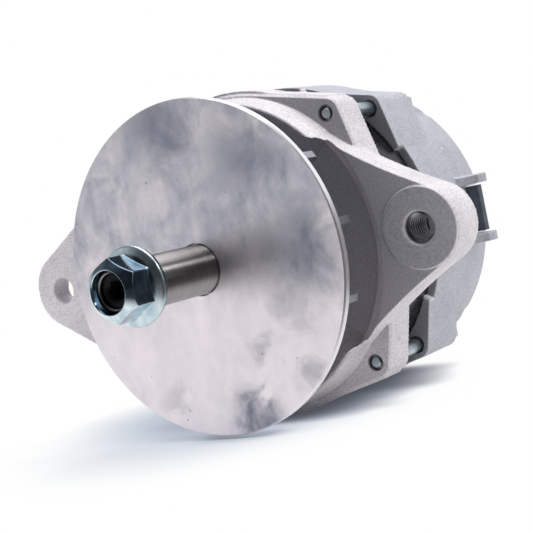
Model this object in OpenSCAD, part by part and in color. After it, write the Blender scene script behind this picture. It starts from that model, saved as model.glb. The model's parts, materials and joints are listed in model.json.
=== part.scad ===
// Heavy-duty engine alternator with a hinge mount, in millimetres.
// The shaft lies along Y with its pulley end at -Y, X runs through the two front ears, Z is up.
// The origin is on the shaft axis, at the front face of the fan.

/* [Fan] */
// Diameter of the fan disc
fan_d = 150; // [146:0.5:156]
// Thickness of the fan disc
fan_t = 3.8; // [3:0.1:5]
// Height of a fin behind the disc
fin_h = 10.2; // [6:0.2:13]
// Thickness of a fin
fin_t = 3.2; // [2:0.1:5]
// Radius at which the fins start
fin_start_r = 30; // [26:1:45]

/* [Shaft and nut] */
// Diameter of the seat that a pulley slides on
seat_d = 22.2; // [20:0.1:23]
// Length of that seat in front of the fan
seat_l = 41.2; // [35:0.2:50]
// Diameter of the threaded end
thread_d = 15.9; // [14:0.1:17]
// Length of the threaded end
thread_l = 13.3; // [10:0.1:15]
// Width across the flats of the socket in the shaft's end
socket_af = 8; // [6:0.5:9]
// Depth of that socket
socket_depth = 9; // [5:0.5:15]
// Height of the flange nut
nut_h = 16.5; // [15:0.1:20]
// Width across the flats of the nut
nut_af = 24; // [22:0.1:26]
// Diameter of the nut's flange
nut_flange_d = 34.2; // [31:0.2:38]
// Diameter of the washer behind the nut
washer_d = 32; // [28:0.5:36]
// Thickness of that washer
washer_t = 1.8; // [1:0.1:3]

/* [Front housing] */
// Distance from the fan's front face to the ears' front face
ear_y = 28; // [26:0.5:32]
// Distance from the fan's front face to the corner pads
pad_y = 39; // [37:0.5:42]
// Thickness of the square frame behind the pads
frame_t = 17; // [14:0.5:20]
// Radius of the round part of the frame
frame_r = 74; // [73:0.2:76]
// Distance of the through bolts' axes outside the round part
bolt_out = 4.77; // [4:0.05:6]
// Radius of the lobe round a through bolt
lobe_r = 6.5; // [6:0.1:8]
// Growth of the frame's outline behind the corner pads
frame_swell = 0.7; // [0.3:0.1:1.2]
// Growth of its top and bottom flanks
crown_swell = 1.5; // [0.8:0.1:2]
// Height of the collar in front of the pads
collar_h = 15; // [11:0.5:18]
// Outer radius of the collar's rim
collar_r = 71.3; // [70.5:0.1:72.5]
// Thickness of the collar at its rim
collar_t = 2.2; // [1.4:0.1:4]
// Number of air slots in the end wall
front_slot_count = 10; // [6:1:14]

/* [Ears] */
// Distance from the shaft axis to the hinge hole
hinge_x = 111.5; // [106:0.5:118]
// Diameter of the hinge holes
hinge_d = 13.2; // [12:0.1:14]
// Outer radius of the hinge ears
hinge_r = 18.5; // [16:0.5:20]
// Thickness of the front hinge ear at its hole
hinge_t = 10.5; // [8:0.5:14]
// Span over both hinge ears
hinge_span = 101.6; // [98:0.2:106]
// Thickness of the rear hinge ear
hinge_rear_t = 20; // [16:0.5:24]
// Outer diameter of the bushing in the rear hinge ear
bushing_d = 19; // [17:0.5:22]
// Distance from the shaft axis to the threaded adjusting hole
adjust_x = 96.4; // [92:0.5:100]
// Diameter of the adjusting thread
adjust_d = 12.7; // [10:0.1:14]
// Outer radius of the adjusting ear
adjust_r = 17.9; // [15:0.5:20]
// Thickness of the adjusting ear behind its face
adjust_t = 18; // [14:0.5:22]
// Height of the adjusting ear's round boss
boss_h = 1.2; // [0.6:0.1:2]

/* [Stator] */
// Width of the gap between the two housings
window_w = 20.5; // [18:0.5:25]
// Depth by which the side windows widen into the rear housing
window_step = 4.8; // [3:0.1:6]
// Wall of the frame round the laminated core
core_wall = 1; // [0.8:0.1:3]
// Inner diameter of the laminated core
stator_id = 108; // [106:0.5:112]
// Length of the laminated core
stack_l = 27; // [26:0.5:29]
// Number of winding slots
stator_slots = 36; // [24:12:48]
// Length by which the winding stands out of the core
overhang_l = 10; // [8:0.5:11]

/* [Rear housing] */
// Length of the corner lobes
rear_lobe_l = 29.5; // [24:0.5:32]
// Length of the rear housing
rear_l = 65.5; // [62:0.5:70]
// Height of the belts between the lobes of both housings
belt_rise = 2.1; // [1.6:0.1:3]
// Half of the angle that a belt covers
belt_half = 28; // [24:0.5:30]
// Length by which the rear belts run past the lobes
belt_past = 3; // [1:0.5:5]
// Amount by which the rear end is smaller in radius than the frame
rear_inset = 3.4; // [2:0.1:4.5]
// Thickness of the rear end wall
rear_wall_t = 5; // [4:0.5:7]
// Number of air slots in the rear end wall
rear_slot_count = 12; // [8:1:16]
// Height of the two guard tabs between their inner faces
tab_gap = 24; // [22:0.5:28]
// Thickness of a guard tab
tab_t = 4.4; // [3:0.1:6]
// Reach of the guard tabs from the shaft axis
tab_x = 83.5; // [81:0.5:86]

/* [Through bolts] */
// Diameter of a through bolt
bolt_d = 6.35; // [5.5:0.05:6.8]
// Diameter of the holes in the rear lobes
bolt_hole_d = 8; // [7.2:0.1:8.6]
// Height of a bolt head
bolt_head_h = 3.2; // [2.5:0.1:5]
// Width across the flats of a bolt head
bolt_head_af = 9.5; // [9:0.1:10.5]

/* [Rotor] */
// Radial air gap between the poles and the stator core
air_gap = 0.5; // [0.3:0.05:1]
// Number of claws on each pole piece
claw_count = 6; // [5:1:7]
// Thickness of a pole piece's disc
pole_t = 12; // [10:0.5:14]
// Length of the rotor core between the pole discs
core_l = 20; // [17:0.5:22]
// Half width of a claw at its root
claw_root_w = 12.4; // [10:0.2:12.8]
// Half width of a claw at its tip
claw_tip_w = 6.4; // [4:0.2:8]
// Radius of a slip ring
ring_r = 14; // [13:0.2:15]
// Width of a slip ring
ring_w = 7; // [6:0.2:8]

/* [Bearings] */
// Bore of the front bearing
front_bore_d = 25; // [24:0.5:26]
// Outer diameter of the front bearing
front_outer_d = 62; // [60:0.5:64]
// Width of the front bearing
front_w = 17; // [15:0.5:18]
// Number of balls in the front bearing
front_ball_count = 7; // [6:1:8]
// Bore of the rear bearing
rear_bore_d = 17; // [15:0.5:18]
// Outer diameter of the rear bearing
rear_outer_d = 40; // [38:0.5:42]
// Width of the rear bearing
rear_w = 12; // [11:0.5:13]
// Number of balls in the rear bearing
rear_ball_count = 8; // [6:1:9]

/* [Brushes and terminals] */
// Length of a brush
brush_l = 14; // [11:0.5:15]
// Width of a brush across the shaft
brush_w = 8; // [6:0.5:10]
// Thickness of a brush along the shaft
brush_t = 5; // [4:0.2:6]
// Length of a brush spring when the brush is new
spring_l = 12; // [10:0.5:16]
// Diameter of the output stud's body
output_d = 8; // [7:0.2:9]
// Diameter of the output stud's free thread
output_tip_d = 6.35; // [5:0.05:6.9]
// Length of the output stud's free thread
output_tip_l = 14; // [10:0.5:18]

/* [Hidden] */
$fn = 96;

// Colours as the photograph shows them
c_cast = [0.74, 0.73, 0.74];
c_fan = [0.70, 0.70, 0.74];
c_steel = [0.66, 0.66, 0.68];
c_zinc = [0.72, 0.78, 0.82];
c_dark = [0.14, 0.14, 0.16];
c_copper = [0.62, 0.33, 0.20];
c_plate = [0.30, 0.33, 0.37];

// Clearances
slide_gap = 0.1;   // between a brush and its channel
fin_gap = 0.8;     // from a fin's end to the rim of the disc
eps = 0.5;         // by which a cutting shape passes the face that it cuts

// Stations along the shaft
fan_back = fan_t + fin_h;
collar_y = pad_y - collar_h;
front_end_y = pad_y + frame_t;
rear_y = front_end_y + window_w;
stator_mid = front_end_y + window_w / 2;
stack_y = stator_mid - stack_l / 2;
stack_end = stack_y + stack_l;
lobe_end = rear_y + rear_lobe_l;
rear_end = rear_y + rear_l;
rear_inner = rear_end - rear_wall_t;
rotor_y = stator_mid - core_l / 2 - pole_t;
rotor_end = stator_mid + core_l / 2 + pole_t;
floor_y = pad_y - 1.5;
floor_t = 4;
front_bearing_y = floor_y + 0.5 - front_w;
front_bearing_end = front_bearing_y + front_w;
rear_bearing_end = rear_inner - 0.5;
rear_bearing_y = rear_bearing_end - rear_w;
hub_end = rear_bearing_y - 1;
hub_y = hub_end - 2 * ring_w - 5.5;
ring_a_y = hub_y + 1.5;
ring_b_y = ring_a_y + ring_w + 2.5;
hinge_rear_y = ear_y + hinge_span - hinge_rear_t;

// Radii
bolt_c = (frame_r + bolt_out) / sqrt(2);
belt_r = frame_r + belt_rise;
rear_end_r = frame_r - rear_inset;
collar_root_r = collar_r + 1.7;
cavity_r = collar_r - collar_t;
step_r = cavity_r + 0.4;
step_top_r = step_r + 6.6;
seat_r = frame_r - core_wall;
casing_r = seat_r - 4;
pole_r = stator_id / 2 - air_gap;
claw_depth = 9.5;
disc_r = pole_r - claw_depth;
shoulder_r = front_bore_d / 2 + 2;
core_r = front_bore_d / 2 + 1.5;
front_boss_r = front_outer_d / 2 + 5;
rear_boss_r = rear_outer_d / 2 + 5;
fan_hole_r = seat_d / 2 + 0.75;
hub_r = rear_bore_d / 2 + 1;

ring_seat_r = ring_r - 2.5;
spool_wall = 13;
spool_r = core_r + spool_wall;
slot_r = stator_id / 2 + 2;
slot_depth = 0.47 * (seat_r - slot_r);
slot_w = 4.2 * 36 / stator_slots;
bobbin_t = 1.5;
retainer_t = 2;
bolt_washer_t = 1;
bolt_washer_r = bolt_d / 2 + 2.4;
bolt_tip_r = bolt_d / 2 - 0.75;
bolt_tip_l = 2.2;
pocket_r = lobe_r + 1;
nib_turn = 62;
brush_top = ring_r + brush_l;

// Angles of the fins from X, unevenly spaced against whistling, and of the nut's hexagon
fin_angles = [-18, 7.4, 31.4, 78, 104, 130, 156, 180, 206, 232, 258, 284];
nut_turn = 28;

// Rectifier, terminals and their fixing points, as [x, z]
sink_t = 4;
sink_b_y = rear_inner - 10;
sink_a_y = sink_b_y - 15;
diode_r = 6.4;
sink_points = [for (a = [205, 270, 335]) polar(57, a)];
diode_points = [for (a = [228, 270, 312]) polar(42, a)];
output_point = polar(55, 249);
insulator_r = output_d / 2 + 3;
output_nut_y = rear_end + 3;
nut_end_y = output_nut_y + 6.5;
output_nut_af = 13;
holder_points = [[-14, 49.5], [14, 49.5]];
holder_flange = [38, 3, 28];
regulator_points = [[-48, 17], [-44, 35.5]];
regulator_corner = [-51.5, 11];
regulator_size = [27.5, 12, 28];
screw_r = 1.5;
screw_head_r = 2.9;
screw_boss_r = 3.2;
capacitor_point = [44, 36];
capacitor_r = 7;
capacitor_l = 26;
ground_point = [27, 50];
ground_d = 6.35;
ground_depth = 6;
board_y = lobe_end + 16;
board_t = 4;
board_w = tab_gap - 2;
board_x = 49;
board_l = tab_x - 3.5 - board_x;
board_points = [[56, -6], [56, 6]];
notch_x = 62;
relay_x = tab_x - 14;
relay_d = 4.8;
relay_out = 10;
relay_nut_r = 4.4;
relay_nut_h = 3.4;
sink_screw_r = 2;
sink_screw_head_r = 3.7;

function polar(r, a) = [r * cos(a), r * sin(a)];

// Four tangent points of the outer band round two circles
function band(c1, r1, c2, r2) =
    let (d = c2 - c1, a = atan2(d[1], d[0]), b = acos((r1 - r2) / norm(d)))
    [c1 + polar(r1, a + b), c2 + polar(r2, a + b), c2 + polar(r2, a - b), c1 + polar(r1, a - b)];

// Extrudes an outline drawn in (x, z) from y0 to y1
module slab(y0, y1) {
    translate([0, y1, 0]) rotate([90, 0, 0]) linear_extrude(y1 - y0) children();
}

// Turns a profile of [radius, y] points about the shaft axis
module turned(points) {
    rotate([-90, 0, 0]) rotate_extrude() polygon(points);
}

// A ring between two radii, from y0 to y1
module ring(r_in, r_out, y0, y1) {
    slab(y0, y1) difference() {
        circle(r_out);
        circle(r_in);
    }
}

// A cylinder along the shaft at (x, z)
module rod(x, z, r, y0, y1) {
    translate([x, 0, z]) slab(y0, y1) circle(r);
}

// A cone along the shaft at (x, z)
module cone(x, z, r0, r1, y0, y1) {
    translate([x, y0, z]) rotate([-90, 0, 0]) cylinder(y1 - y0, r0, r1);
}

// A sector of a disc between two angles, for spans under 180 degrees
module sector(r, a0, a1) {
    far = r / cos((a1 - a0) / 2) + 1;
    intersection() {
        circle(r);
        polygon([[0, 0], polar(far, a0), polar(far, (a0 + a1) / 2), polar(far, a1)]);
    }
}

// A curved slot with round ends, which are a little narrower than the slot
module kidney(r, half_w, a0, a1) {
    difference() {
        sector(r + half_w, a0, a1);
        circle(r - half_w);
    }
    for (a = [a0, a1]) translate(polar(r, a)) circle(half_w - 0.2);
}

// The axes of the four through bolts
module at_bolt_axes() {
    for (x = [-bolt_c, bolt_c], z = [-bolt_c, bolt_c]) translate([x, 0, z]) children();
}

// Outline of the frame that both housings share: a drum with four corner lobes
module frame_outline(swell = 0) {
    circle(frame_r + swell);
    for (x = [-bolt_c, bolt_c], z = [-bolt_c, bolt_c]) {
        translate([x, z]) circle(lobe_r + swell);
        polygon(band([0, 0], frame_r + swell, [x, z], lobe_r + swell));
    }
}

// The front housing's top and bottom flanks, which stand a little further out
module crown_outline() {
    for (m = [0, 1], n = [0, 1]) mirror([m, 0]) mirror([0, n]) {
        flank = band([0, 0], frame_r + crown_swell, [bolt_c, bolt_c], lobe_r + crown_swell);
        polygon([[0, 0], flank[0], flank[1], [bolt_c, bolt_c]]);
    }
}

// The belts round the housings, centred on the given angles
module belt_outline(angles) {
    for (a = angles) sector(belt_r, a - belt_half, a + belt_half);
}

// One flank of the adjusting ear, slightly hollow, cut from the triangle that carries it
module adjust_outline() {
    flank = 31;
    tip = [adjust_x, 0] + polar(adjust_r, 90 - flank);
    root = [0.77 * frame_r, 0.62 * frame_r];
    span = norm(tip - root);
    sag = 1.6;
    hollow_r = span * span / (8 * sag) + sag / 2;
    out = [root[1] - tip[1], tip[0] - root[0]] / span;
    centre = (tip + root) / 2 + out * (hollow_r - sag);
    translate([adjust_x, 0]) circle(adjust_r);
    for (m = [0, 1]) mirror([0, m]) difference() {
        polygon([[0, 0], [adjust_x, 0], tip, root]);
        translate(centre) circle(hollow_r, $fn = 360);
    }
}

module hinge_outline() {
    translate([-hinge_x, 0]) circle(hinge_r);
    polygon(band([0, 0], frame_r, [-hinge_x, 0], hinge_r));
}

// A balls-and-races bearing, described once for both ends
function pitch_r(bore, outer) = (bore + outer) / 4 + 0.25;
function ball_r(bore, outer) = (outer - bore) / 2 * 0.308;

module race_outer(bore, outer, w, y0) {
    p = pitch_r(bore, outer);
    b = ball_r(bore, outer);
    inner = p + 0.62 * b;
    difference() {
        union() {
            ring(inner, outer / 2, y0, y0 + w);
            for (y = [y0 + 0.45, y0 + w - 0.95]) ring(p - 0.5 * b, inner + 0.5, y, y + 0.5);
        }
        rotate([-90, 0, 0]) translate([0, 0, y0 + w / 2]) rotate_extrude() translate([p, 0]) circle(b + 0.05);
    }
}

module race_inner(bore, outer, w, y0) {
    p = pitch_r(bore, outer);
    b = ball_r(bore, outer);
    difference() {
        ring(bore / 2, p - 0.62 * b, y0, y0 + w);
        rotate([-90, 0, 0]) translate([0, 0, y0 + w / 2]) rotate_extrude() translate([p, 0]) circle(b + 0.05);
    }
}

module ball_set(bore, outer, w, y0, count) {
    p = pitch_r(bore, outer);
    for (k = [0:count - 1]) rotate([0, k * 360 / count, 0])
        translate([p, y0 + w / 2, 0]) sphere(ball_r(bore, outer));
}

module ball_cage(bore, outer, w, y0, count) {
    p = pitch_r(bore, outer);
    b = ball_r(bore, outer);
    mid = y0 + w / 2;
    difference() {
        ring(p - 0.9, p + 0.9, y0 + 1.3, y0 + w - 1.3);
        for (k = [0:count - 1]) rotate([0, k * 360 / count, 0])
            translate([p - 4, mid, 0]) rotate([0, 90, 0]) cylinder(8, b + 0.1, b + 0.1);
    }
}

// Fan: a flat disc with straight fins on its back
module fan() {
    color(c_fan) {
        edge = 0.6;
        r = fan_d / 2;
        turned([[fan_hole_r, 0], [r - edge, 0], [r, edge], [r, fan_t - edge], [r - edge, fan_t],
            [fan_hole_r, fan_t]]);
        fin_r = r - fin_gap;
        intersection() {
            for (a = fin_angles) rotate([0, -a, 0])
                translate([0, 0, -fin_t / 2]) cube([fin_r, fan_back, fin_t]);
            turned([[fin_start_r, fan_t - eps], [fin_start_r + fin_h, fan_back], [fin_r - 2.4, fan_back],
                [fin_r - 0.7, fan_back - 0.7], [fin_r, fan_back - 2.4], [fin_r, fan_t - eps]]);
        }
    }
}

// Spacer that centres the fan and holds it off the front bearing
module fan_collar() {
    spigot_r = fan_hole_r;
    flange_r = fan_hole_r + 9.9;
    neck_r = seat_d / 2 + 4.4;
    color(c_steel) turned([[seat_d / 2, fan_t - 1.2], [spigot_r, fan_t - 1.2], [spigot_r, fan_t], [flange_r, fan_t],
        [flange_r, fan_t + 3], [neck_r, fan_t + 5.7], [neck_r, front_bearing_y], [seat_d / 2, front_bearing_y]]);
}

module shaft() {
    tip_y = -seat_l - thread_l;
    tr = thread_d / 2;
    color(c_steel) difference() {
        turned([[0, tip_y], [tr - 1.2, tip_y], [tr, tip_y + 1.2], [tr, -seat_l], [seat_d / 2 - 0.5, -seat_l],
            [seat_d / 2, -seat_l + 0.5], [seat_d / 2, front_bearing_y], [front_bore_d / 2, front_bearing_y],
            [front_bore_d / 2, front_bearing_end], [shoulder_r, front_bearing_end], [shoulder_r, rotor_y],
            [core_r, rotor_y], [core_r, rotor_end], [rear_bore_d / 2 + 2, rotor_end], [rear_bore_d / 2 + 2, hub_y],
            [hub_r, hub_y], [hub_r, hub_end], [rear_bore_d / 2 + 0.8, hub_end],
            [rear_bore_d / 2 + 0.8, rear_bearing_y], [rear_bore_d / 2, rear_bearing_y],
            [rear_bore_d / 2, rear_bearing_end - 0.6], [rear_bore_d / 2 - 0.6, rear_bearing_end],
            [0, rear_bearing_end]]);
        slab(tip_y - eps, tip_y + socket_depth) circle(socket_af / sqrt(3), $fn = 6);
        cone(0, 0, socket_af / sqrt(3) + 0.6, socket_af / 2, tip_y - 0.01, tip_y + 1);
    }
}

// Flange nut: hexagon with a long front chamfer, standing on a round flange
module flange_nut() {
    corner_r = nut_af / sqrt(3);
    back = -seat_l - washer_t;
    front = back - nut_h;
    mouth_r = thread_d / 2 + 1.2;
    mouth_depth = 2.6;
    flange_r = nut_flange_d / 2;
    color(c_zinc) difference() {
        union() {
            intersection() {
                slab(front, back) rotate(nut_turn) circle(corner_r, $fn = 6);
                turned([[0, front], [mouth_r + 0.3, front], [corner_r + 0.3, front + 3.9], [corner_r + 0.3, back],
                    [0, back]]);
            }
            turned([[0, back - 4.6], [nut_af / 2, back - 4.2], [flange_r - 0.6, back - 1.9], [flange_r, back - 1.3],
                [flange_r, back - 0.5], [flange_r - 0.5, back], [0, back]]);
        }
        rod(0, 0, thread_d / 2, front - eps, back + eps);
        cone(0, 0, mouth_r, thread_d / 2, front - 0.01, front + mouth_depth);
    }
}

module nut_washer() {
    color(c_zinc) ring(thread_d / 2, washer_d / 2, -seat_l - washer_t, -seat_l);
}

// Front housing: square frame, collar, ears, end wall with air slots and the bearing's seat
module front_housing() {
    boss_face = ear_y - boss_h;
    color(c_cast) difference() {
        union() {
            slab(pad_y, front_end_y) frame_outline();
            slab(pad_y + 1.2, front_end_y) frame_outline(frame_swell);
            slab(pad_y + 2, front_end_y) belt_outline([0, 90, 180, 270]);
            slab(pad_y + 2.2, front_end_y) crown_outline();
            cast_nib();
            difference() {
                turned([[cavity_r, collar_y + 0.6], [cavity_r + 0.6, collar_y], [collar_r - 0.8, collar_y],
                    [collar_r, collar_y + 0.8], [collar_root_r, pad_y + eps], [cavity_r, pad_y + eps]]);
                ear_cuts(0, ear_y);
            }
            ears();
            translate([adjust_x, 0, 0]) slab(boss_face, ear_y + eps) circle(adjust_r - 0.6);
            translate([-hinge_x, 0, 0]) slab(boss_face + 0.6, ear_y + eps) circle(hinge_r - 1.2);
            rod(0, 0, front_boss_r, front_bearing_y - 2.5, floor_y + floor_t);
            front_ribs();
        }
        // fan cavity, and the step from each ear's face down to its floor
        ring(front_boss_r, cavity_r, 0, floor_y);
        intersection() {
            ear_step();
            ear_cuts(0, floor_y);
        }
        // stator side: seat of the core and room for the winding
        rod(0, 0, casing_r - 0.5, floor_y + floor_t, front_end_y + eps);
        rod(0, 0, seat_r, stack_y, front_end_y + eps);
        // bearing seat
        rod(0, 0, front_outer_d / 2, front_bearing_y, floor_y + floor_t + eps);
        rod(0, 0, front_outer_d / 2 - 5, front_bearing_y - 3, front_bearing_y + eps);
        at_retainer_screws() retainer_screw();
        front_slots();
        at_bolt_axes() rod(0, 0, bolt_d / 2, pad_y - eps, front_end_y + eps);
        // hinge hole and adjusting thread
        rod(-hinge_x, 0, hinge_d / 2, boss_face - eps, ear_y + hinge_t + eps);
        rod(adjust_x, 0, adjust_d / 2, boss_face - eps, ear_y + adjust_t + eps);
        cone(adjust_x, 0, adjust_d / 2 + 1.55, adjust_d / 2, boss_face - 0.01, boss_face + 1.55);
    }
}

// Space in front of the ears, left and right, that the collar leaves open
module ear_cuts(y0, y1) {
    rim_end = polar(collar_r, 40);
    ear_start = polar(step_top_r, 33);
    along = (ear_start - rim_end) / norm(ear_start - rim_end);
    inner = rim_end - 20 * along;
    outer = ear_start + frame_r * along;
    for (m = [0, 1]) mirror([m, 0, 0]) slab(y0, y1)
        polygon([[0, 0], inner, outer, [outer[0], -outer[1]], [inner[0], -inner[1]]]);
}

module ears() {
    intersection() {
        slab(ear_y, front_end_y) hinge_outline();
        translate([0, 0, -frame_r]) linear_extrude(2 * frame_r)
            polygon([[-frame_r / 2, ear_y], [-2 * frame_r, ear_y], [-2 * frame_r, ear_y + hinge_t],
                [-hinge_x + hinge_r, ear_y + hinge_t], [-frame_r - 1, front_end_y - 1], [-frame_r / 2, front_end_y - 1]]);
    }
    intersection() {
        slab(ear_y, ear_y + adjust_t) adjust_outline();
        translate([frame_r / 2, 0, -frame_r]) cube([2 * frame_r, front_end_y, 2 * frame_r]);
    }
}

// The step from the ears' face down to the floor of the fan's cavity
module ear_step() {
    turned([[cavity_r - 1, 0], [step_top_r, 0], [step_top_r, ear_y], [step_r, floor_y - 1],
        [cavity_r - 0.2, floor_y], [cavity_r - 1, floor_y]]);
}

// Nib at the rear edge of the frame's top, by which the two housings are lined up
module cast_nib() {
    rotate([0, -nib_turn, 0]) translate([frame_r, front_end_y - 4, -0.8]) cube([5.2, 4, 1.6]);
}

module front_ribs() {
    for (k = [0:front_slot_count - 1]) rotate([0, k * 360 / front_slot_count, 0])
        translate([front_boss_r - 2, floor_y - 5, -2]) cube([8, 6, 4]);
}

module front_slots() {
    pitch = 360 / front_slot_count;
    slab(floor_y - eps, floor_y + floor_t + eps)
        for (k = [0:front_slot_count - 1]) kidney(47, 4.5, (k + 0.5) * pitch - 8, (k + 0.5) * pitch + 8);
}

module front_bearing_outer() {
    color(c_steel) race_outer(front_bore_d, front_outer_d, front_w, front_bearing_y);
}

module front_bearing_inner() {
    color(c_steel) race_inner(front_bore_d, front_outer_d, front_w, front_bearing_y);
}

module front_balls() {
    color(c_steel) ball_set(front_bore_d, front_outer_d, front_w, front_bearing_y, front_ball_count);
}

module front_cage() {
    color(c_copper) ball_cage(front_bore_d, front_outer_d, front_w, front_bearing_y, front_ball_count);
}

module at_retainer_screws() {
    for (a = [45:90:315]) rotate([0, a, 0]) translate([front_boss_r - 2.5, 0, 0]) children();
}

// Plate that holds the front bearing in its seat
module bearing_retainer() {
    y0 = floor_y + floor_t;
    color(c_steel) difference() {
        union() {
            ring(shoulder_r + 4, front_boss_r, y0, y0 + retainer_t);
            ring(front_outer_d / 2 - 4, front_outer_d / 2, front_bearing_end, y0 + retainer_t);
        }
        at_retainer_screws() retainer_screw();
    }
}

module retainer_screw() {
    y0 = floor_y + floor_t;
    rod(0, 0, 1.5, y0 - 6, y0 + retainer_t);
    cone(0, 0, 1.5, 2.4, y0 + retainer_t - 0.9, y0 + retainer_t);
}

module retainer_screws() {
    color(c_zinc) at_retainer_screws() retainer_screw();
}

// Laminated core with half-closed slots
module stator_core() {
    color(c_dark) slab(stack_y, stack_end) difference() {
        circle(seat_r);
        circle(stator_id / 2);
        for (k = [0:stator_slots - 1]) rotate(k * 360 / stator_slots) {
            translate([stator_id / 2 - 1, -slot_w / 4]) square([4, slot_w / 2]);
            translate([slot_r, -slot_w / 2]) square([slot_depth, slot_w]);
        }
    }
}

// Copper winding: a leg in each slot and a bundled overhang at each end
module stator_winding() {
    in_r = stator_id / 2 + 1.4;
    out_r = slot_r + slot_depth + 1;
    color(c_copper) {
        slab(stack_y - 1, stack_end + 1) for (k = [0:stator_slots - 1]) rotate(k * 360 / stator_slots)
            translate([slot_r, -slot_w / 2]) square([slot_depth, slot_w]);
        difference() {
            for (m = [0, 1]) translate([0, stator_mid, 0]) mirror([0, m, 0]) turned([[in_r, stack_l / 2],
                [in_r, stack_l / 2 + overhang_l - 3], [in_r + 2, stack_l / 2 + overhang_l],
                [out_r - 2.5, stack_l / 2 + overhang_l], [out_r, stack_l / 2 + overhang_l - 3], [out_r, stack_l / 2]]);
            for (k = [0:stator_slots - 1]) rotate([0, (k + 0.5) * 360 / stator_slots, 0])
                rod(out_r + 0.4, 0, 1.5, stack_y - overhang_l - eps, stack_end + overhang_l + eps);
        }
    }
}

module rotor_core() {
    color(c_steel) ring(core_r, spool_r, rotor_y + pole_t, rotor_end - pole_t);
}

// One pole piece: a disc whose rim carries tapered claws that reach over the field coil
module pole_piece() {
    tip_y = rotor_end - 1.5;
    root_y = rotor_y + pole_t;
    ring(core_r, disc_r, rotor_y, root_y);
    for (k = [0:claw_count - 1]) rotate([0, k * 360 / claw_count, 0]) intersection() {
        linear_extrude(pole_r + 5) polygon([[-claw_root_w, rotor_y], [claw_root_w, rotor_y], [claw_root_w, root_y],
            [claw_tip_w, tip_y], [-claw_tip_w, tip_y], [-claw_root_w, root_y]]);
        turned([[disc_r - 3, rotor_y], [disc_r + 1, rotor_y], [pole_r, rotor_y + 7], [pole_r, tip_y],
            [pole_r - 4.5, tip_y], [disc_r + 0.8, root_y], [disc_r - 3, root_y]]);
    }
}

module front_pole() {
    color(c_steel) pole_piece();
}

module rear_pole() {
    color(c_steel) rotate([0, 180 / claw_count, 0]) translate([0, 2 * stator_mid, 0]) mirror([0, 1, 0]) pole_piece();
}

module coil_bobbin() {
    y0 = rotor_y + pole_t;
    y1 = rotor_end - pole_t;
    color(c_dark) turned([[spool_r, y0], [disc_r, y0], [disc_r, y0 + bobbin_t], [spool_r + bobbin_t, y0 + bobbin_t],
        [spool_r + bobbin_t, y1 - bobbin_t], [disc_r, y1 - bobbin_t], [disc_r, y1], [spool_r, y1]]);
}

module field_coil() {
    color(c_copper) ring(spool_r + bobbin_t, disc_r - 1, rotor_y + pole_t + bobbin_t, rotor_end - pole_t - bobbin_t);
}

// Insulating hub with a groove for each slip ring
module slip_ring_hub() {
    color(c_dark) difference() {
        ring(hub_r, ring_r - 1, hub_y, hub_end);
        for (y = [ring_a_y, ring_b_y]) ring(ring_seat_r, ring_r, y, y + ring_w);
    }
}

module slip_rings() {
    color(c_copper) for (y = [ring_a_y, ring_b_y]) ring(ring_seat_r, ring_r, y, y + ring_w);
}

module rear_bearing_outer() {
    color(c_steel) race_outer(rear_bore_d, rear_outer_d, rear_w, rear_bearing_y);
}

module rear_bearing_inner() {
    color(c_steel) race_inner(rear_bore_d, rear_outer_d, rear_w, rear_bearing_y);
}

module rear_balls() {
    color(c_steel) ball_set(rear_bore_d, rear_outer_d, rear_w, rear_bearing_y, rear_ball_count);
}

module rear_cage() {
    color(c_copper) ball_cage(rear_bore_d, rear_outer_d, rear_w, rear_bearing_y, rear_ball_count);
}

// Rear housing: drum with belts and corner lobes, guard tabs, rear hinge ear and end wall
module rear_housing() {
    color(c_cast) difference() {
        union() {
            difference() {
                rear_shell();
                rod(0, 0, seat_r, rear_y - eps, stack_end);
                rod(0, 0, casing_r, stack_end - eps, rear_inner);
            }
            ring(rear_outer_d / 2, rear_boss_r, rear_bearing_y - 1, rear_inner + eps);
            for (p = sink_points) rod(p[0], p[1], 2 * sink_screw_r, sink_b_y + sink_t, rear_inner + eps);
            for (p = holder_points) rod(p[0], p[1], screw_boss_r, hub_end, rear_inner + eps);
            for (p = regulator_points) rod(p[0], p[1], screw_boss_r, hub_end, rear_inner + eps);
            for (p = board_points) rod(p[0], p[1], screw_boss_r, board_y + board_t, rear_inner + eps);
            rod(ground_point[0], ground_point[1], ground_d / 2 + 2.8, rear_inner, rear_end + 4);
        }
        rod(0, 0, rear_outer_d / 2, rear_bearing_y - 2, rear_bearing_end);
        at_bolt_axes() {
            rod(0, 0, bolt_hole_d / 2, rear_y - eps, lobe_end + eps);
            rod(0, 0, pocket_r, lobe_end, rear_end + eps);
        }
        slab(rear_y - eps, rear_y + window_step) for (a = [0, 180]) sector(belt_r + 2, a - belt_half, a + belt_half);
        rear_slots();
        rod(-hinge_x, 0, bushing_d / 2, hinge_rear_y - eps, hinge_rear_y + hinge_rear_t + eps);
        // notch between the guard tabs, closed in front by the terminal board
        translate([notch_x, board_y, -board_w / 2 - 0.2]) cube([tab_x, rear_l, board_w + 0.4]);
        rod(output_point[0], output_point[1], insulator_r, rear_inner - eps, rear_end + eps);
        for (p = sink_points) rod(p[0], p[1], sink_screw_r, sink_b_y, rear_inner + eps);
        for (p = holder_points) rod(p[0], p[1], screw_r, hub_end - eps, rear_inner);
        for (p = regulator_points) rod(p[0], p[1], screw_r, hub_end - eps, rear_inner);
        for (p = board_points) rod(p[0], p[1], screw_r, board_y, rear_inner);
        rod(ground_point[0], ground_point[1], ground_d / 2, rear_end - ground_depth, rear_end + 5);
    }
}

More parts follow.
